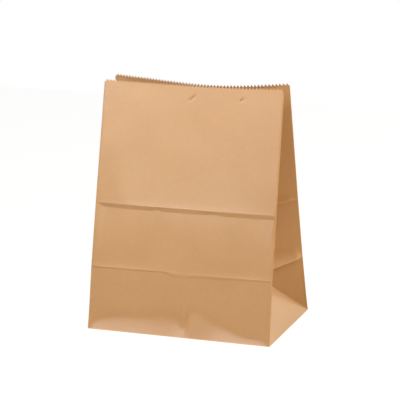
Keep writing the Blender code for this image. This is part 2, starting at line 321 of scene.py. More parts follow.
def centre_fold_levels():
    """Inset and height of the centre fold at the bottom, each crease and the mouth."""
    half_gap = (BACK_Y[1] - FRONT_Y[1]) / 2
    crease_rise = (BACK_Z[1] + FRONT_Z[1]) / 2 - BOTTOM_TOP
    apex_rise = (half_gap ** 2 + crease_rise ** 2) / (2 * crease_rise)
    points = [(0.0, BOTTOM_TOP), (rise_of(HALF_DEPTH, apex_rise), BOTTOM_TOP + apex_rise)]
    for level in (2, 3):
        half_gap = (BACK_Y[level] - FRONT_Y[level]) / 2
        edge = (0.0, (BACK_Z[level] + FRONT_Z[level]) / 2)
        length = LEVELS[level] - LEVELS[level - 1]
        points.append(circle_meet(edge, rise_of(HALF_DEPTH, half_gap), points[-1], length))
    return points


CENTRE_INSET, CENTRE_Z = zip(*centre_fold_levels())
print("Centre fold, mm in from the side:", [round(value * 1000, 1) for value in CENTRE_INSET])

# %% [markdown]
# ## The bow of the mouth
#
# At the mouth the back wall sags in towards the front, a little to the right of its middle, and
# the front wall's lip curls out. Where the back wall leans in more, its edge is lower, because its
# paper keeps its length. We draw both with one skewed arch.

# %% Bow of the back wall and curl of the front lip
TOP_LENGTH = SHEET_HEIGHT - HIGH_CREASE
BACK_BOW = 0.015
BOW_PEAK = 0.59
LIP_CURL = 0.005
ARCH_POWER = math.log(0.5) / math.log(BOW_PEAK)


def mouth_share(height):
    """0 up to the high crease, growing to 1 at the mouth."""
    return max(0.0, (height - HIGH_CREASE) / TOP_LENGTH)


def skewed_arch(x, half_width):
    share = min(max((x / half_width + 1) / 2, 0.0), 1.0)
    return math.sin(math.pi * share ** ARCH_POWER)


def lip_offset(x, height):
    arch = skewed_arch(x, at_height(FRONT_HALF, height))
    return -LIP_CURL * arch * mouth_share(height) ** 2


def bow_offset(x, height):
    return -BACK_BOW * skewed_arch(x, at_height(BACK_HALF, height)) * mouth_share(height)


def bow_drop(x):
    """How much lower the bowed back wall's top lies here."""
    lean = BACK_Y[2] - BACK_Y[3]
    return rise_of(TOP_LENGTH, lean) - rise_of(TOP_LENGTH, lean - bow_offset(x, SHEET_HEIGHT))


print("Deepest bow in mm:", round(-bow_offset(0.02, SHEET_HEIGHT) * 1000, 1))

# %% [markdown]
# ## Creases, foot and dents
#
# A crease that was pressed flat and opened again never becomes a clean line. At the high crease
# the paper stands out as a ridge, with a band 5 mm high under it that tips back in. This band
# starts as a point near the left edge. The low crease is only a fine step. Above the bottom fold
# the wall leans in to the soft lobes of its foot. There are also small dents and two nicks.
#
# All of this is relief: how far the paper stands out at a place on the sheet. We add up simple
# profiles, so that each one can be named and tuned.

# %% Helpers for relief
def smooth(value):
    """Eases from 0 to 1."""
    value = min(max(value, 0.0), 1.0)
    return value * value * (3 - 2 * value)


def profile(place, stops):
    """Reads a broken line of (place, offset) pairs."""
    return float(np.interp(place, *zip(*stops)))


def bump(x, height, place, reach):
    """A round swelling: 1 in its middle, next to nothing beyond its reach."""
    return math.exp(-((x - place[0]) / reach[0]) ** 2 - ((height - place[1]) / reach[1]) ** 2)


# %% Relief of the front wall
BAND_HEIGHT = 0.0052
BAND_RIDGE = 0.00035
BAND_HOLLOW = 0.0026
RIDGE_REACH = 0.008
BAND_FADE_BELOW = 0.055
BAND_STARTS = 0.011
BAND_ENDS = 0.003
BAND_LEAST = 0.05
BAND_CRIMPS = ((-0.030, 0.0050), (0.034, 0.0075))
CRIMP_HEIGHT = 0.0012
SWELL = 0.0022
SWELL_REACH = 0.090
SWELL_FADE = 0.040


def high_crease_relief(x, height):
    """Ridge, band and hollow at the high crease, on a wide swell of the whole wall."""
    half = at_height(FRONT_HALF, height)
    opening = min((x + half) / BAND_STARTS, (half - x) / BAND_ENDS, 1.0)
    fade = smooth(opening)
    swell = SWELL * smooth((half - abs(x)) / SWELL_FADE)
    band = BAND_HEIGHT * max(opening, BAND_LEAST)
    for crimp_x, reach in BAND_CRIMPS:
        band -= CRIMP_HEIGHT * math.exp(-((x - crimp_x) / reach) ** 2)
    above = height - HIGH_CREASE
    if above >= 0.0:
        ridge = fade * BAND_RIDGE * max(0.0, 1 - above / RIDGE_REACH) ** 2
        return ridge + swell * max(0.0, 1 - above / SWELL_REACH) ** 2
    if above >= -band:
        return fade * (BAND_RIDGE + (BAND_RIDGE + BAND_HOLLOW) * above / band) + swell
    below = min(1.0, (-above - band) / BAND_FADE_BELOW)
    return swell * (1 - below) - fade * BAND_HOLLOW * (1 - below) ** 2


LOW_CREASE_PATH = ((-0.105, 0.0), (-0.100, -0.0008), (-0.018, 0.0002), (-0.008, -0.0036),
                   (0.000, -0.0028), (0.007, -0.0034), (0.014, -0.0024), (0.105, 0.0))
LOW_CREASE_STEP = ((-0.014, 0.0), (-0.0014, -0.0005), (0.0, 0.0004), (0.005, 0.0))
LOW_CREASE_FADE = 0.004


def low_crease_relief(x, height):
    """A fine step. The crease was pressed twice, so its right part starts lower."""
    half = at_height(FRONT_HALF, height)
    fade = smooth((half - abs(x)) / LOW_CREASE_FADE)
    above = height - LOW_CREASE - profile(x, LOW_CREASE_PATH)
    return fade * profile(above, LOW_CREASE_STEP)


FOOT_DEPTH = 0.0043
FOOT_FULL = 0.014
FOOT_ABOVE = 0.0026
FOOT_FADE = 0.009
FOOT_SIDE_FADE = 0.007
FOOT_ROUND = 1.4
FOOT_TOP = ((-0.105, 0.006), (-0.095, 0.010), (-0.080, 0.015), (-0.040, 0.017), (-0.020, 0.020),
            (-0.008, 0.020), (-0.001, 0.016), (0.0045, 0.010), (0.0075, 0.012), (0.0115, 0.025),
            (0.020, 0.029), (0.026, 0.027), (0.034, 0.021), (0.042, 0.017), (0.053, 0.014),
            (0.071, 0.008), (0.105, 0.004))


def foot_relief(x, height):
    """The wall leans in more up to the foot's lobed top, and less above it."""
    top = profile(x, FOOT_TOP)
    depth = FOOT_DEPTH * min(1.0, top / FOOT_FULL)
    fade = smooth((FRONT_WIDTH / 2 - abs(x)) / FOOT_SIDE_FADE)
    if height < top:
        return -fade * depth * (1 - (1 - height / top) ** FOOT_ROUND)
    above = FOOT_ABOVE * max(0.0, 1 - height / LOW_CREASE)
    at_top = FOOT_ABOVE * (1 - top / LOW_CREASE)
    return -fade * (above + (depth - at_top) * math.exp(-(height - top) / FOOT_FADE))


DENTS = (((0.004, 0.0690), 0.0004, (0.006, 0.0025)), ((0.030, 0.045), 0.0006, (0.030, 0.014)),
         ((-0.020, 0.100), 0.0005, (0.040, 0.016)))
NICKS = (((-0.0010, 0.2580), (0.0045, 0.2628)), ((0.0572, 0.2600), (0.0595, 0.2618)))
NICK_DEPTH = 0.0005
NICK_WIDTH = 0.0013


def line_distance(x, y, start, end):
    """Distance from a point to a short line."""
    run, climb = end[0] - start[0], end[1] - start[1]
    share = ((x - start[0]) * run + (y - start[1]) * climb) / (run * run + climb * climb)
    share = min(max(share, 0.0), 1.0)
    return math.hypot(x - start[0] - share * run, y - start[1] - share * climb)


def front_relief(x, height):
    total = high_crease_relief(x, height) + low_crease_relief(x, height) + foot_relief(x, height)
    for place, depth, reach in DENTS:
        total -= depth * bump(x, height, place, reach)
    for start, end in NICKS:
        total -= NICK_DEPTH * math.exp(-(line_distance(x, height, start, end) / NICK_WIDTH) ** 2)
    return total


# %% Relief of a gusset half and of the back wall
GUSSET_CURLS = ((LOW_CREASE, 0.0060, 0.022, 0.0055), (HIGH_CREASE, 0.0030, 0.010, 0.0032))
GUSSET_FADE = 0.012
FRONT_CURL_SHARE = 0.4
BACK_LOW_STEP = ((-0.010, 0.0), (-0.0015, -0.00025), (0.0, 0.0002), (0.003, 0.0))
BACK_HIGH_STEP = ((-0.030, 0.0), (-0.004, -0.0006), (0.0, 0.0004), (0.0035, 0.0))
BACK_FOOT_DEPTH = 0.0010
BACK_FADE = 0.006


def gusset_relief(share, height):
    """The paper curls out above each crease and drops back in a short band under it."""
    edge = HALF_DEPTH * min(share, 1 - share)
    fade = smooth(edge / GUSSET_FADE)
    total = 0.0
    for crease, curl, reach, drop in GUSSET_CURLS:
        above = height - crease
        if 0.0 <= above < reach:
            total += curl * (1 - above / reach) ** 2
        elif -drop < above < 0.0:
            total += curl * (1 + above / drop)
    return fade * total


def back_relief(x, height):
    half = at_height(BACK_HALF, height)
    fade = smooth((half - abs(x)) / BACK_FADE)
    low = profile(height - LOW_CREASE, BACK_LOW_STEP)
    high = profile(height - HIGH_CREASE, BACK_HIGH_STEP)
    foot = -BACK_FOOT_DEPTH * math.sin(math.pi * min(height / LOW_CREASE, 1.0))
    return fade * (low + high + foot)


print("Band under the high crease tips in by",
      round(math.degrees(math.atan((BAND_RIDGE + BAND_HOLLOW) / BAND_HEIGHT)), 1), "degrees")

# %% [markdown]
# ## A point of the folded paper
#
# The sheet has twelve strips side by side: two walls, four gusset halves, and six narrow strips
# where the paper turns round a fold. Each strip is a function that takes a share across it, from
# 0 to 1, and a height up the sheet, and gives the point in the room. A fold is a short arc, because
# paper turns with some radius, and that arc catches the light.

# %% Walls
FOLD_RADIUS = 0.0011
FOLD_OPENS_BY = 0.022


def fold_radius(height):
    """Inner radius of the upright folds, which close to a point at the bottom's corners."""
    return FOLD_RADIUS * min(1.0, height / FOLD_OPENS_BY)


def front_point(share, height):
    x = (2 * share - 1) * (at_height(FRONT_HALF, height) - fold_radius(height))
    y = at_height(FRONT_Y, height) + lip_offset(x, height) - front_relief(x, height)
    return (x, y, at_height(FRONT_Z, height))


def back_point(share, height):
    x = (1 - 2 * share) * (at_height(BACK_HALF, height) - fold_radius(height))
    y = at_height(BACK_Y, height) + bow_offset(x, height) + back_relief(x, height)
    return (x, y, at_height(BACK_Z, height) - bow_drop(x) * mouth_share(height))


# %% Folds between them
WALL_EDGES = {"front": (FRONT_HALF, FRONT_Y, FRONT_Z), "back": (BACK_HALF, BACK_Y, BACK_Z)}
INWARD = {"front": 1, "back": -1}


def wall_edge(face, height):
    """Half width, Y, Z and inward direction of a wall's side edge."""
    half, edge_y, z = (at_height(values, height) for values in WALL_EDGES[face])
    return half, edge_y, z, INWARD[face]


def centre_fold(side, height):
    """Place of a gusset's centre fold. Side is 1 on the right, -1 on the left."""
    half = (at_height(FRONT_HALF, height) + at_height(BACK_HALF, height)) / 2
    x = side * (half - at_height(CENTRE_INSET, height))
    front = at_height(FRONT_Y, height) + lip_offset(x, height)
    back = at_height(BACK_Y, height) + bow_offset(x, height)
    return (x, (front + back) / 2, at_height(CENTRE_Z, height))


def gusset_angle(side, face, height):
    """Angle in plan between a wall and the gusset half that is folded in behind it."""
    level = max(height, LOW_CREASE)
    half, edge_y, _, inward = wall_edge(face, level)
    fold_x, fold_y, _ = centre_fold(side, level)
    return math.atan2(inward * (fold_y - edge_y), half - side * fold_x)


def corner_fold_point(side, face, share, height):
    """Round fold between a wall and its gusset half. Share 0 is at the wall."""
    half, edge_y, z, inward = wall_edge(face, height)
    radius = fold_radius(height)
    turn = share * (math.pi - gusset_angle(side, face, height)) - math.pi / 2
    x = half - radius + radius * math.cos(turn)
    return (side * x, edge_y + inward * radius * (1 + math.sin(turn)), z)


def centre_fold_point(side, share, height):
    """Round fold down the middle of a gusset. Share 0 is at its front half."""
    x, y, z = centre_fold(side, height)
    radius = fold_radius(height)
    start = gusset_angle(side, "front", height) - math.pi / 2
    end = math.pi / 2 - gusset_angle(side, "back", height)
    turn = start + share * (end - start)
    return (x + side * radius * (1 - math.cos(turn)), y + radius * math.sin(turn), z)


# %% Gusset halves
def relieved(side, face, share, height, place):
    """Moves a point of a gusset half out of its plane by the relief there."""
    angle = gusset_angle(side, face, height)
    amount = gusset_relief(share, height) * (FRONT_CURL_SHARE if face == "front" else 1.0)
    return (place[0] + side * math.sin(angle) * amount,
            place[1] + INWARD[face] * math.cos(angle) * amount, place[2])


def gusset_half_point(side, face, share, height):
    """Half of a gusset. Share 0 is at the wall. It follows the wall's bow."""
    outer = corner_fold_point(side, face, 1.0, height)
    inner = centre_fold_point(side, 0.0 if face == "front" else 1.0, height)
    x, y, z = (a + (b - a) * share for a, b in zip(outer, inner))
    offset = lip_offset if face == "front" else bow_offset
    y += offset(x, height) - share * offset(inner[0], height)
    return relieved(side, face, share, height, (x, y, z))


print("Right centre fold at the mouth:",
      [round(value * 1000, 1) for value in centre_fold(1, SHEET_HEIGHT)], "mm")

# %% [markdown]
# ## Rows and columns
#
# The paper becomes a mesh by rows, one for each height up the sheet, and columns across each
# strip. Rows crowd together where the relief is sharp. Below the low crease the sides are folded
# along diagonals, which are at 45 degrees on the flat sheet. We use the lower rows' heights as the
# gussets' columns too, so these diagonals run exactly through the corners of the grid.

# %% Heights of the rows and shares of the columns
LOW_ROWS = [value / 1000 for value in (
    2, 4, 6, 8, 10, 12, 14, 16, 18.5, 21, 24, 27, 30.5, 34, 38, 42, 46, 50, 54, 57.5, 60.5, 63,
    65, 66.6, 67.8, 68.6, 69.3)]
MIDDLE_ROWS = [value / 1000 for value in (
    70.7, 71.5, 72.6, 74.2, 76.5, 80, 84, 88, 92, 96, 100, 104, 108, 112, 116, 120, 123.5, 126.5,
    129, 131, 132.6, 133.8, 134.6, 135.3, 136.2, 137.3, 138.4, 139.3)]
HIGH_ROWS = [value / 1000 for value in (
    140.6, 141.3, 142.2, 143.3, 145, 147.5, 151, 155, 159.5, 164, 168.5, 173, 177.5, 182, 186.5,
    191, 195.5, 200, 204.5, 209, 213.5, 218, 222.5, 227, 231.5, 236, 240.5, 245, 249, 252, 254.3,
    256, 257.3, 258.5, 259.7, 261, 262.5, 264.5, 267, 269.5)]
TOOTH_PITCH = 0.0039
TOOTH_DEPTH = 0.0030
TOOTH_MARGIN = 0.0012
TOOTH_FOOT = SHEET_HEIGHT - TOOTH_DEPTH - TOOTH_MARGIN
FOLD_STEPS = 6
LAP_FROM_FOLD = 0.020
LAP_WIDTH = 0.015
LAP_EDGE = 0.0002


def tooth_count(width):
    return max(2, round(width / TOOTH_PITCH))


def even_shares(count):
    return [step / count for step in range(count + 1)]


WALL_TEETH = tooth_count(FRONT_WIDTH)
GUSSET_TEETH = tooth_count(HALF_DEPTH)
GUSSET_SHARES = [0.0] + [height / LOW_CREASE for height in LOW_ROWS] + [1.0]
LAP_SHARES = [round(value / FRONT_WIDTH * WALL_TEETH) / WALL_TEETH
              for value in (LAP_FROM_FOLD, LAP_FROM_FOLD + LAP_WIDTH)]
LAP_INSIDE = LAP_EDGE / FRONT_WIDTH


def with_lap_edges(shares):
    near, far = LAP_SHARES
    return sorted(set(shares) | {near, near + LAP_INSIDE, far - LAP_INSIDE, far})


print("Teeth across a wall and across a gusset half:", WALL_TEETH, GUSSET_TEETH)

# %% The twelve strips of the sheet
FOLD_ARC = 0.0017


def strip_list():
    """Each strip's point function, columns, teeth and place on the flat sheet.

    They run round the bag from the front wall's left fold: a wall, then the gusset after it.
    """
    wall = even_shares(2 * WALL_TEETH)
    lapped = with_lap_edges(wall)
    fine_gusset = even_shares(2 * GUSSET_TEETH)
    steps = even_shares(FOLD_STEPS)
    outwards = [1 - share for share in reversed(GUSSET_SHARES)]
    fold = (steps, steps, 0, 0.0)
    half_in = (GUSSET_SHARES, fine_gusset, GUSSET_TEETH, HALF_DEPTH)
    half_out = (outwards, fine_gusset, GUSSET_TEETH, HALF_DEPTH)

    def run(point, *which, backwards=False):
        return lambda s, h: point(*which, 1 - s if backwards else s, h)

    sides = {1: "right", -1: "left"}
    table = []
    for side, face, other, point, columns in (
            (1, "front", "back", front_point, wall), (-1, "back", "front", back_point, lapped)):
        here, before = sides[side], sides[-side]
        table += [
            (f"{face} {before} fold", run(corner_fold_point, -side, face, backwards=True), fold),
            (face, point, (columns, columns, WALL_TEETH, FRONT_WIDTH)),
            (f"{face} {here} fold", run(corner_fold_point, side, face), fold),
            (f"{here} {face} half", run(gusset_half_point, side, face), half_in),
            (f"{here} centre fold", run(centre_fold_point, side, backwards=side < 0), fold),
            (f"{here} {other} half", run(gusset_half_point, side, other, backwards=True), half_out)]
    made = []
    around = 0.0
    for name, point, (columns, fine, teeth, width) in table:
        start = around + FOLD_ARC if teeth else around - FOLD_ARC
        end = around + width - FOLD_ARC if teeth else around + FOLD_ARC
        made.append({"name": name, "point": point, "columns": columns, "fine": fine,
                     "teeth": teeth, "u": (start, end), "width": width})
        around += width
    return made


strips = strip_list()
FRONT_STRIPS = slice(0, 3)
RIGHT_STRIPS = slice(3, 6)
BACK_STRIPS = slice(6, 9)
LEFT_STRIPS = slice(9, 12)
print("Strips:", [strip["name"] for strip in strips])

# %% [markdown]
# ## Building the sheet
#
# BMesh builds a mesh by hand. Each row makes its vertices strip by strip, and shares the vertex
# where two strips meet, so the paper has no slit. Faces then join one row to the next, with
# triangles where a row has more columns than the one below it, as at the teeth.
#
# A UV map stores where each corner of a face lies on the flat sheet, in metres, so fibres and the
# pale lines of the creases, worn and painted highlight, can follow the sheet round every fold.
# Attributes tell the Geometry Nodes how loose the paper is, which way is up the sheet, and where a
# vertex lies along the row of teeth.

# %% A row-by-row sheet
GROUND_LOOSE = 0.030
FOLD_LOOSE = 0.030
SAME_SHARE = 1e-9


class Sheet:
    """The paper as an open surface. A row is a list of (share, vertex, u, v) for each strip."""

    def __init__(self):
        self.bm = bmesh.new()
        self.uv = self.bm.loops.layers.uv.new("sheet")
        layers = self.bm.verts.layers
        self.lap = layers.deform.verify()
        self.loose = layers.float.new("loose")
        self.tooth = layers.float.new("tooth")
        self.cut = layers.float.new("cut")
        self.up = layers.float_vector.new("up_sheet")

    def vertex(self, strip, share, height):
        place = Vector(strip["point"](share, height))
        vertex = self.bm.verts.new(place)
        near, far = LAP_SHARES
        if strip["name"] == "back" and near + LAP_INSIDE / 2 < share < far - LAP_INSIDE / 2:
            vertex[self.lap][0] = 1.0 if height > 0 else 0.0
        edge = strip["width"] * min(share, 1 - share)
        vertex[self.loose] = smooth(edge / FOLD_LOOSE) * smooth(height / GROUND_LOOSE)
        if height >= SHEET_HEIGHT:
            below = Vector(strip["point"](share, SHEET_HEIGHT - TOOTH_DEPTH))
            vertex[self.up] = (place - below).normalized()
            vertex[self.cut] = 1.0
            vertex[self.tooth] = share * strip["teeth"]
        return vertex

    def entry(self, strip, share, height, vertex=None):
        start, end = strip["u"]
        if vertex is None:
            vertex = self.vertex(strip, share, height)
        return (share, vertex, start + share * (end - start), height)

    def row(self, strips, height, fine=False, closed=True):
        """Entries across each strip at one height. The last strip closes onto the first."""
        kind = "fine" if fine else "columns"
        parts = [[self.entry(strip, share, height) for share in strip[kind][:-1]]
                 for strip in strips]
        for number, (strip, part) in enumerate(zip(strips, parts)):
            if number + 1 < len(parts):
                part.append(self.entry(strip, 1.0, height, parts[number + 1][0][1]))
            else:
                part.append(self.entry(strip, 1.0, height, parts[0][0][1] if closed else None))
        return parts

    def ground_row(self, strips):
        """A wall's lowest row, where the folds at its two sides close to its end vertices."""
        wall = [self.entry(strips[1], share, 0.0) for share in strips[1]["columns"]]
        ends = [[self.entry(strip, share, 0.0, vertex) for share in (0.0, 1.0)]
                for strip, vertex in ((strips[0], wall[0][1]), (strips[2], wall[-1][1]))]
        return [ends[0], wall, ends[1]]

    def face(self, entries):
        """A face from entries, or none where its corners have run together."""
        distinct = [e for i, e in enumerate(entries) if e[1] is not entries[i - 1][1]]
        if len(distinct) < 3:
            return
        face = self.bm.faces.new([e[1] for e in distinct])
        face.smooth = True
        for loop, (_, _, u, v) in zip(face.loops, distinct):
            loop[self.uv].uv = (u, v)

    def join_strip(self, lower, upper):
        """Faces between two rows of one strip: squares where the columns agree."""
        low = high = 0
        far = 2.0
        while low < len(lower) - 1 or high < len(upper) - 1:
            next_low = lower[low + 1][0] if low < len(lower) - 1 else far
            next_high = upper[high + 1][0] if high < len(upper) - 1 else far
            if abs(next_low - next_high) < SAME_SHARE:
                self.face([lower[low], lower[low + 1], upper[high + 1], upper[high]])
                low += 1
                high += 1
            elif next_low < next_high:
                self.face([lower[low], lower[low + 1], upper[high]])
                low += 1
            else:
                self.face([lower[low], upper[high + 1], upper[high]])
                high += 1

    def join(self, lower, upper):
        for low_part, high_part in zip(lower, upper):
            self.join_strip(low_part, high_part)


# %% [markdown]
# ## The sides below the low crease
#
# Below the low crease each side is three flat triangles: the lower ends of the two gusset halves
# stand upright, and between them the bottom's triangle leans in from the floor. All three meet
# where the centre fold starts. Each is a triangular grid, and neighbours share the vertices on the
# diagonal folds.

# %% Triangular grids
GRID_HEIGHTS = [0.0] + LOW_ROWS + [LOW_CREASE]
TRIANGLE_LOOSE = 0.5
UPRIGHT_LOOSE = 0.015
BOTTOM_LOOSE = 0.02


def blend(corners, weights):
    """A point inside a triangle from its three corners."""
    return tuple(sum(w * corner[axis] for w, corner in zip(weights, corners)) for axis in range(3))


def upright_triangle(sheet, strip, side, face, wall_rows, top):
    """The lower end of a gusset half. Returns its diagonal, from the ground upwards.

    wall_rows gives the entry at the wall's fold for each height, ground first, and top is the low
    crease's row across the gusset half, from the wall inwards.
    """
    mirrored = top[0][0] > top[-1][0]
    corners = (wall_rows[0][1].co, top[0][1].co, top[-1][1].co)
    start, end = strip["u"]
    grid = [[wall_rows[0]]]
    for level, height in enumerate(GRID_HEIGHTS[1:-1], start=1):
        line = [wall_rows[level]]
        for across in GRID_HEIGHTS[1:level + 1]:
            lean = across / LOW_CREASE
            up = (height - across) / LOW_CREASE
            place = blend(corners, (1 - height / LOW_CREASE, up, lean))
            vertex = sheet.bm.verts.new(relieved(side, face, lean, height, place))
            share = 1 - lean if mirrored else lean
            loose = smooth(min(across, height - across) / UPRIGHT_LOOSE)
            vertex[sheet.loose] = TRIANGLE_LOOSE * loose
            line.append((share, vertex, start + share * (end - start), height))
        grid.append(line)
    grid.append(top)
    for lower, upper in zip(grid, grid[1:]):
        for number in range(len(lower)):
            last = number + 1 == len(lower)
            corners_here = [lower[number], upper[number + 1], upper[number]]
            if not last:
                corners_here.insert(1, lower[number + 1])
            sheet.face(corners_here[::-1] if mirrored else corners_here)
    return [line[-1] for line in grid]


def bottom_triangle(sheet, before, after, apex, u_middle):
    """The bottom's triangle between the two diagonals, up to the centre fold's start."""
    corners = (before[0][1].co, after[0][1].co, apex[1].co)
    grid = []
    for level, height in enumerate(GRID_HEIGHTS[:-1]):
        line = [before[level]]
        inner = GRID_HEIGHTS[level + 1:]
        for across in inner + [SIDE_DEPTH - value for value in reversed(inner[:-1])]:
            along = (across - height) / SIDE_DEPTH
            lean = height / LOW_CREASE
            vertex = sheet.bm.verts.new(blend(corners, (1 - lean - along, along, lean)))
            loose = smooth(min(across, SIDE_DEPTH - across) / BOTTOM_LOOSE)
            vertex[sheet.loose] = TRIANGLE_LOOSE * loose
            line.append((across, vertex, u_middle - HALF_DEPTH + across, height))
        line.append(after[level])
        grid.append(line)
    for lower, upper in zip(grid, grid[1:] + [[apex]]):
        spare = (len(lower) - len(upper)) // 2
        sheet.face([lower[0], lower[1], upper[0]])
        for number in range(len(upper) - 1):
            sheet.face([lower[number + spare], lower[number + spare + 1], upper[number + 1],
                        upper[number]])
        sheet.face([lower[-2], lower[-1], upper[-1]])
    return grid


# %% Lower walls, lower sides and bottom
def lower_wall(sheet, strips, crease_row):
    """A wall and its side folds from the low crease to the ground. Returns rows, ground first."""
    rows = [sheet.ground_row(strips)]
    rows += [sheet.row(strips, height, closed=False) for height in LOW_ROWS]
    rows.append(crease_row)
    for lower, upper in zip(rows, rows[1:]):
        sheet.join(lower, upper)
    return rows


def lower_side(sheet, strips, side, wall_before, crease_row, wall_after):
    """A gusset below the low crease, from the wall before it to the wall after it.

    Returns the bottom's edge on this side.
    """
    half_before, centre, half_after = crease_row
    first_face, second_face = ("front", "back") if side > 0 else ("back", "front")
    before_rows = [row[-1][-1] for row in wall_before[:-1]]
    after_rows = [row[0][0] for row in wall_after[:-1]]
    before = upright_triangle(sheet, strips[0], side, first_face, before_rows, half_before)
    after = upright_triangle(sheet, strips[2], side, second_face, after_rows, half_after[::-1])
    middle = len(centre) // 2
    u_middle = (strips[1]["u"][0] + strips[1]["u"][1]) / 2
    grid = bottom_triangle(sheet, before, after, centre[middle], u_middle)
    for number, (first, second) in enumerate(zip(centre, centre[1:])):
        sheet.face([(before if number < middle else after)[-2], second, first])
    return grid[0]


def bottom(sheet, outline):
    """The bottom inside the fold all round it. On the flat sheet it lies below height 0."""
    around = [(0.0, vertex, vertex.co.x + FRONT_WIDTH / 2, -vertex.co.y - HALF_DEPTH)
              for _, vertex, _, _ in outline]
    sheet.face(around[::-1])


def folded_sheet():
    """The whole sheet without its bottom flaps."""
    sheet = Sheet()
    low_ring = sheet.row(strips, LOW_CREASE)
    front_rows = lower_wall(sheet, strips[FRONT_STRIPS], low_ring[FRONT_STRIPS])
    back_rows = lower_wall(sheet, strips[BACK_STRIPS], low_ring[BACK_STRIPS])
    right_edge = lower_side(sheet, strips[RIGHT_STRIPS], 1, front_rows, low_ring[RIGHT_STRIPS],
                            back_rows)
    left_edge = lower_side(sheet, strips[LEFT_STRIPS], -1, back_rows, low_ring[LEFT_STRIPS],
                           front_rows)
    bottom(sheet, front_rows[0][1] + right_edge[1:-1] + back_rows[0][1] + left_edge[1:-1])
    below = low_ring
    for height in MIDDLE_ROWS + [HIGH_CREASE] + HIGH_ROWS + [TOOTH_FOOT, SHEET_HEIGHT]:
        ring = sheet.row(strips, height, fine=height >= TOOTH_FOOT)
        sheet.join(below, ring)
        below = ring
    return sheet


sheet = folded_sheet()
print("Sheet:", len(sheet.bm.verts), "vertices,", len(sheet.bm.faces), "faces")

# %% [markdown]
# ## Serrated mouth and cockles with Geometry Nodes
#
# Two things follow a rule all over: the zigzag of the mouth, and cockle, the slow unevenness of
# paper that has been damp and dry. Geometry Nodes suit both, because they move every vertex at once
# from a few named numbers. The teeth are cut from paper, so they lie in its own plane: their
# vertices go down the sheet, not straight down.

# %% Helpers for Geometry Nodes
def geometry_tree(name, numbers):
    """A tree with a geometry, its named numbers and a material as inputs."""
    tree = bpy.data.node_groups.new(name, "GeometryNodeTree")
    tree.interface.new_socket("Geometry", in_out="INPUT", socket_type="NodeSocketGeometry")
    for label, value in numbers.items():
        number = tree.interface.new_socket(label, in_out="INPUT", socket_type="NodeSocketFloat")
        number.default_value = value
    tree.interface.new_socket("Material", in_out="INPUT", socket_type="NodeSocketMaterial")
    tree.interface.new_socket("Geometry", in_out="OUTPUT", socket_type="NodeSocketGeometry")
    return tree, Wire(tree)


def given(start, label):
    return start.node("NodeGroupInput", out=label)


def stored(start, name, kind="FLOAT"):
    return start.node("GeometryNodeInputNamedAttribute", {"Name": name}, data_type=kind)


def end_tree(start, direction, distance):
    """Moves the vertices by the distance along the direction, and ends the tree."""
    offset = start.node("ShaderNodeVectorMath", {0: direction, "Scale": distance},
                        operation="SCALE")
    moved = start.node("GeometryNodeSetPosition", {
        "Geometry": given(start, "Geometry"), "Offset": offset})
    real = start.node("GeometryNodeRealizeInstances", {"Geometry": moved})
    dressed = start.node("GeometryNodeSetMaterial",
                         {"Geometry": real, "Material": given(start, "Material")})
    start.node("NodeGroupOutput", {"Geometry": dressed})


def add_tree(piece, tree, values):
    """Adds the tree to a piece and sets its inputs by their identifiers."""
    modifier = piece.modifiers.new(tree.name, "NODES")
    modifier.node_group = tree
    for item in tree.interface.items_tree:
        if item.in_out == "INPUT" and item.name in values:
            modifier[item.identifier] = values[item.name]


# %% The two trees
TOOTH_NUMBERS = {"Tooth Depth": TOOTH_DEPTH}
COCKLE_NUMBERS = {"Cockle Height": 0.0007, "Cockle Size": 0.055, "Seed": 7.0}


def serrated_tree():
    """Drops each cut vertex by its distance from the nearest tooth's tip."""
    tree, start = geometry_tree("serrated_mouth", TOOTH_NUMBERS)
    along = start.maths("FRACT", stored(start, "tooth"))
    from_tip = abs(along * 2.0 - 1.0)
    drop = from_tip * stored(start, "cut") * given(start, "Tooth Depth")
    end_tree(start, stored(start, "up_sheet", "FLOAT_VECTOR"), 0.0 - drop)
    return tree


def cockle_tree():
    """Moves loose paper out of its plane by a slow noise."""
    tree, start = geometry_tree("paper_cockle", COCKLE_NUMBERS)
    place = start.node("GeometryNodeInputPosition")
    noise = start.node("ShaderNodeTexNoise", {
        "Vector": place, "W": given(start, "Seed"), "Scale": 1.0 / given(start, "Cockle Size"),
        "Detail": 1.0}, noise_dimensions="4D")
    amount = (noise * 2.0 - 1.0) * stored(start, "loose") * given(start, "Cockle Height")
    end_tree(start, start.node("GeometryNodeInputNormal"), amount)
    return tree


# %% [markdown]
# ## Kraft paper
#
# Unbleached kraft is a warm tan of long softwood fibres. Seen close, the fibres lie mostly one way,
# along the paper machine's run, which is up the bag. Between them the sheet is cloudy, where pulp
# lies thicker, and a few dark specks are bark. Along a pressed fold the fibres break and stand up,
# and the paper turns paler. The pale lines drawn along the folds are that wear and also a painted
# highlight, where a fold would catch the light. Along the two nicks the paper is a darker brown.
#
# A procedural material works at any size and is easy to tune. Its fibres and creases follow the
# flat sheet's UV map.

# %% Creases on the flat sheet
HALF_ROUND = FRONT_WIDTH + SIDE_DEPTH
CORNER_FOLDS = (0.0, FRONT_WIDTH, HALF_ROUND, HALF_ROUND + FRONT_WIDTH, 2 * HALF_ROUND)
CENTRE_FOLDS = (FRONT_WIDTH + HALF_DEPTH, 2 * HALF_ROUND - HALF_DEPTH)
# Pale lines of the level creases sit this far above each crease, on its ridge: a painted highlight as
# well as wear.
RIDGE_WEAR_AND_HIGHLIGHT = 0.0005
RIDGE_NARROWING = 1.5
# How far from a nick the paper is drawn darker.
NICK_DARK_REACH = 0.0007


def nearest(distances):
    shortest = distances[0]
    for distance in distances[1:]:
        shortest = shortest.maths("MINIMUM", shortest, distance)
    return shortest


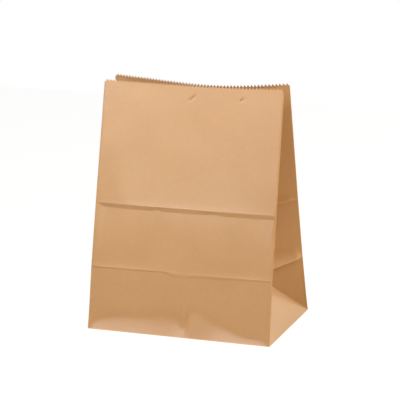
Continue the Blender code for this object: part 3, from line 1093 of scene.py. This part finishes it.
def fold_distance(u, v):
    """Distance on the flat sheet to the nearest fold that is drawn paler, as wear and painted
    highlight, in metres.
    """
    below = v.maths("LESS_THAN", v, LOW_CREASE)
    folds = [abs(u - fold) for fold in CORNER_FOLDS] + [abs(v)]
    folds += [abs(v - (crease + RIDGE_WEAR_AND_HIGHLIGHT)) * RIDGE_NARROWING + RIDGE_WEAR_AND_HIGHLIGHT
              for crease in (LOW_CREASE, HIGH_CREASE)]
    for fold in CENTRE_FOLDS:
        from_centre = abs(u - fold)
        off_line = abs(HALF_DEPTH - from_centre - v)
        outside = from_centre.maths("GREATER_THAN", from_centre, HALF_DEPTH)
        folds += [from_centre + below, off_line + outside + 1.0 - below]
    return nearest(folds)


def nick_distance(u, v):
    """Distance to the nearest nick of the front wall."""
    found = []
    for (x0, y0), (x1, y1) in NICKS:
        run, climb = x1 - x0, y1 - y0
        from_x = u - (x0 + FRONT_WIDTH / 2)
        from_y = v - y0
        length2 = run * run + climb * climb
        share = from_x * (run / length2) + from_y * (climb / length2)
        share = share.maths("MINIMUM", share.maths("MAXIMUM", share, 0.0), 1.0)
        across = from_x - share * run
        along = from_y - share * climb
        found.append(across.maths("SQRT", across * across + along * along))
    return nearest(found)


# %% Kraft paper material
KRAFT_DARK = (0.515, 0.268, 0.103, 1.0)
KRAFT_PALE = (0.700, 0.410, 0.185, 1.0)
NICK_BROWN = (0.230, 0.100, 0.035, 1.0)
FIBRE_SCALE = (2600.0, 380.0, 1.0)
CLOUD_SCALE, PATCH_SCALE, SPECK_SCALE = 260.0, 24.0, 1500.0
WEAR_AND_HIGHLIGHT_SCALE, NICK_DARK_SCALE = 900.0, 700.0
WEAR_AND_HIGHLIGHT_WIDTH = 0.0015
WEAR_AND_HIGHLIGHT_RANGE, NICK_DARK_RANGE, SPECK_RANGE = (1.0, 0.2), (1.6, 0.5), (0.70, 0.80)
WEAR_AND_HIGHLIGHT_LEAST, NICK_DARK_LEAST, UNEVENNESS = 0.45, 0.1, 0.9
# The fourth tone pales the paper along the folds, for worn fibres and as a painted highlight.
FIBRE_TONE, CLOUD_TONE, PATCH_TONE, WEAR_AND_HIGHLIGHT_TONE, SPECK_TONE = 0.36, 0.24, 0.38, 0.55, 0.40
FIBRE_BUMP, CLOUD_BUMP, WEAR_BUMP = 0.6, 0.8, 0.5
BUMP_DISTANCE, BUMP_STRENGTH = 0.00006, 0.35
ROUGHNESS, ROUGHNESS_VARIES = 0.42, 0.15
SHEEN = 0.9


def mixed_colours(share, first, second):
    """A Mix node has its colours at sockets 6 and 7 and at output 2."""
    return share.node("ShaderNodeMix", {0: share, 6: first, 7: second}, out=2, data_type="RGBA")


def noise_at(vector, scale, detail=2.0):
    return vector.node("ShaderNodeTexNoise", {
        "Vector": vector, "Scale": scale, "Detail": detail})


def ranged(value, start, end):
    """0 up to the range's start and 1 beyond its end."""
    return value.node("ShaderNodeMapRange", {"Value": value, "From Min": start, "From Max": end})


def uneven(share, vector, scale, least):
    return share * (least + noise_at(vector, scale) * UNEVENNESS)


def kraft_paper():
    material, start = new_material("kraft_paper")
    sheet_map = start.node("ShaderNodeUVMap", uv_map="sheet")
    u = start.node("ShaderNodeSeparateXYZ", {"Vector": sheet_map}, out="X")
    v = start.node("ShaderNodeSeparateXYZ", {"Vector": sheet_map}, out="Y")
    lengthwise = start.node("ShaderNodeMapping", {"Vector": sheet_map, "Scale": FIBRE_SCALE})
    place = start.node("ShaderNodeTexCoord", out="Object")

    fibres = noise_at(lengthwise, 1.0, 3.0)
    clouds = noise_at(place, CLOUD_SCALE, 3.0)
    patches = noise_at(place, PATCH_SCALE)
    specks = ranged(noise_at(sheet_map, SPECK_SCALE, 1.0), *SPECK_RANGE)
    # Paler along the folds: partly broken fibres, partly a painted highlight where a fold would catch
    # the light.
    fold_wear_and_highlight = ranged(fold_distance(u, v) / WEAR_AND_HIGHLIGHT_WIDTH, *WEAR_AND_HIGHLIGHT_RANGE)
    broken_fibres_and_highlight = uneven(fold_wear_and_highlight, sheet_map, WEAR_AND_HIGHLIGHT_SCALE, WEAR_AND_HIGHLIGHT_LEAST)
    # The paper is a darker brown along the two nicks.
    nick_darkening = ranged(nick_distance(u, v) / NICK_DARK_REACH, *NICK_DARK_RANGE)
    nick_darkened = uneven(nick_darkening, sheet_map, NICK_DARK_SCALE, NICK_DARK_LEAST)

    paleness = (0.5 + (fibres - 0.5) * FIBRE_TONE + (clouds - 0.5) * CLOUD_TONE
                + (patches - 0.5) * PATCH_TONE + broken_fibres_and_highlight * WEAR_AND_HIGHLIGHT_TONE - specks * SPECK_TONE)
    plain_paper = mixed_colours(paleness, KRAFT_DARK, KRAFT_PALE)
    colour = mixed_colours(nick_darkened, plain_paper, NICK_BROWN)
    height = fibres * FIBRE_BUMP + clouds * CLOUD_BUMP + broken_fibres_and_highlight * WEAR_BUMP
    normal = start.node("ShaderNodeBump", {
        "Height": height, "Distance": BUMP_DISTANCE, "Strength": BUMP_STRENGTH})
    roughness = ROUGHNESS + (clouds - 0.5) * ROUGHNESS_VARIES + broken_fibres_and_highlight * ROUGHNESS_VARIES
    shader = start.node("ShaderNodeBsdfPrincipled", {
        "Base Color": colour, "Roughness": roughness, "Normal": normal,
        "Specular IOR Level": SHEEN})
    start.node("ShaderNodeOutputMaterial", {"Surface": shader})
    return material


kraft = kraft_paper()
print("Kraft paper nodes:", len(kraft.node_tree.nodes))

# %% [markdown]
# ## From surface to paper
#
# The sheet is still a surface without thickness. Its modifiers are cockle, teeth and Solidify,
# which gives the paper its 0.15 mm, and twice that along the glued lap. Then we keep the result as
# a plain mesh, because the exported part holds no modifiers.

# %% Thicken the sheet
LAP_LAYERS = 2
SHARP_ANGLE = math.radians(40)


def sheet_object(sheet):
    ngons = [face for face in sheet.bm.faces if len(face.verts) > 4]
    bmesh.ops.triangulate(sheet.bm, faces=ngons)
    mesh = bpy.data.meshes.new("kraft_bag")
    sheet.bm.to_mesh(mesh)
    sheet.bm.free()
    bag = new_object("kraft_bag", mesh)
    bag.vertex_groups.new(name="lap")
    return bag


def thicken(bag):
    paper = bag.modifiers.new("paper", "SOLIDIFY")
    paper.thickness = LAP_LAYERS * PAPER
    paper.offset = 1.0
    paper.use_even_offset = True
    paper.use_quality_normals = True
    paper.vertex_group = "lap"
    paper.thickness_vertex_group = 1 / LAP_LAYERS


def frozen(piece):
    """Makes what the modifiers give the piece's own plain mesh."""
    depsgraph = bpy.context.evaluated_depsgraph_get()
    mesh = bpy.data.meshes.new_from_object(
        piece.evaluated_get(depsgraph), preserve_all_data_layers=True, depsgraph=depsgraph)
    piece.modifiers.clear()
    piece.data = mesh


bag = sheet_object(sheet)
add_tree(bag, cockle_tree(), {**COCKLE_NUMBERS, "Material": kraft})
add_tree(bag, serrated_tree(), {**TOOTH_NUMBERS, "Material": kraft})
thicken(bag)
frozen(bag)
print("Thickened:", len(bag.data.polygons), "faces")

# %% [markdown]
# ## The bottom flaps
#
# The sheet's lower end is folded in from both sides, and two slanted flaps close it. Glued flat,
# they show only their edges and the seam between them, so two thin plates are enough.

# %% Two flaps under the bottom
FLAP_GAP = 0.00001
FLAP_OVERLAP = 0.020
SEAM_GAP = 0.0006
FLAP_INSET = 0.0003
FLAPS_AT_V = -0.08


def add_flap(bm, uv, fold_y, free_y):
    """A plate with slanted ends, from the floor up to just under the bottom's own layer."""
    towards = 1 if free_y > fold_y else -1
    reach = abs(free_y - fold_y)
    half = FRONT_WIDTH / 2 - FLAP_INSET
    start = fold_y + towards * FLAP_INSET
    outline = [(-half, start), (half, start), (half - reach, free_y), (reach - half, free_y)]
    lower, upper = ([bm.verts.new((x, y, z)) for x, y in outline] for z in (0.0, PAPER - FLAP_GAP))
    sides = [[lower[i], lower[i - 3], upper[i - 3], upper[i]] for i in range(4)]
    made = [bm.faces.new(corners) for corners in [lower[::-1], upper] + sides]
    bmesh.ops.recalc_face_normals(bm, faces=made)
    for face in made:
        for loop in face.loops:
            x, y, _ = loop.vert.co
            loop[uv].uv = (x + FRONT_WIDTH / 2, FLAPS_AT_V - abs(y - fold_y))


def add_flaps(bag):
    bm = bmesh.new()
    bm.from_mesh(bag.data)
    uv = bm.loops.layers.uv["sheet"]
    seam = -FLAP_OVERLAP / 2
    add_flap(bm, uv, HALF_DEPTH, seam)
    add_flap(bm, uv, -HALF_DEPTH, seam - SEAM_GAP)
    bm.to_mesh(bag.data)
    bm.free()


add_flaps(bag)
bag.data.set_sharp_from_angle(angle=SHARP_ANGLE)
bag.data.calc_loop_triangles()
print("Bag:", len(bag.data.loop_triangles), "triangles")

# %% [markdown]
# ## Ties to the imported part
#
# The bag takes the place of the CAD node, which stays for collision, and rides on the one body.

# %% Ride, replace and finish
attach(bag, "root")
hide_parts("paper_bag")
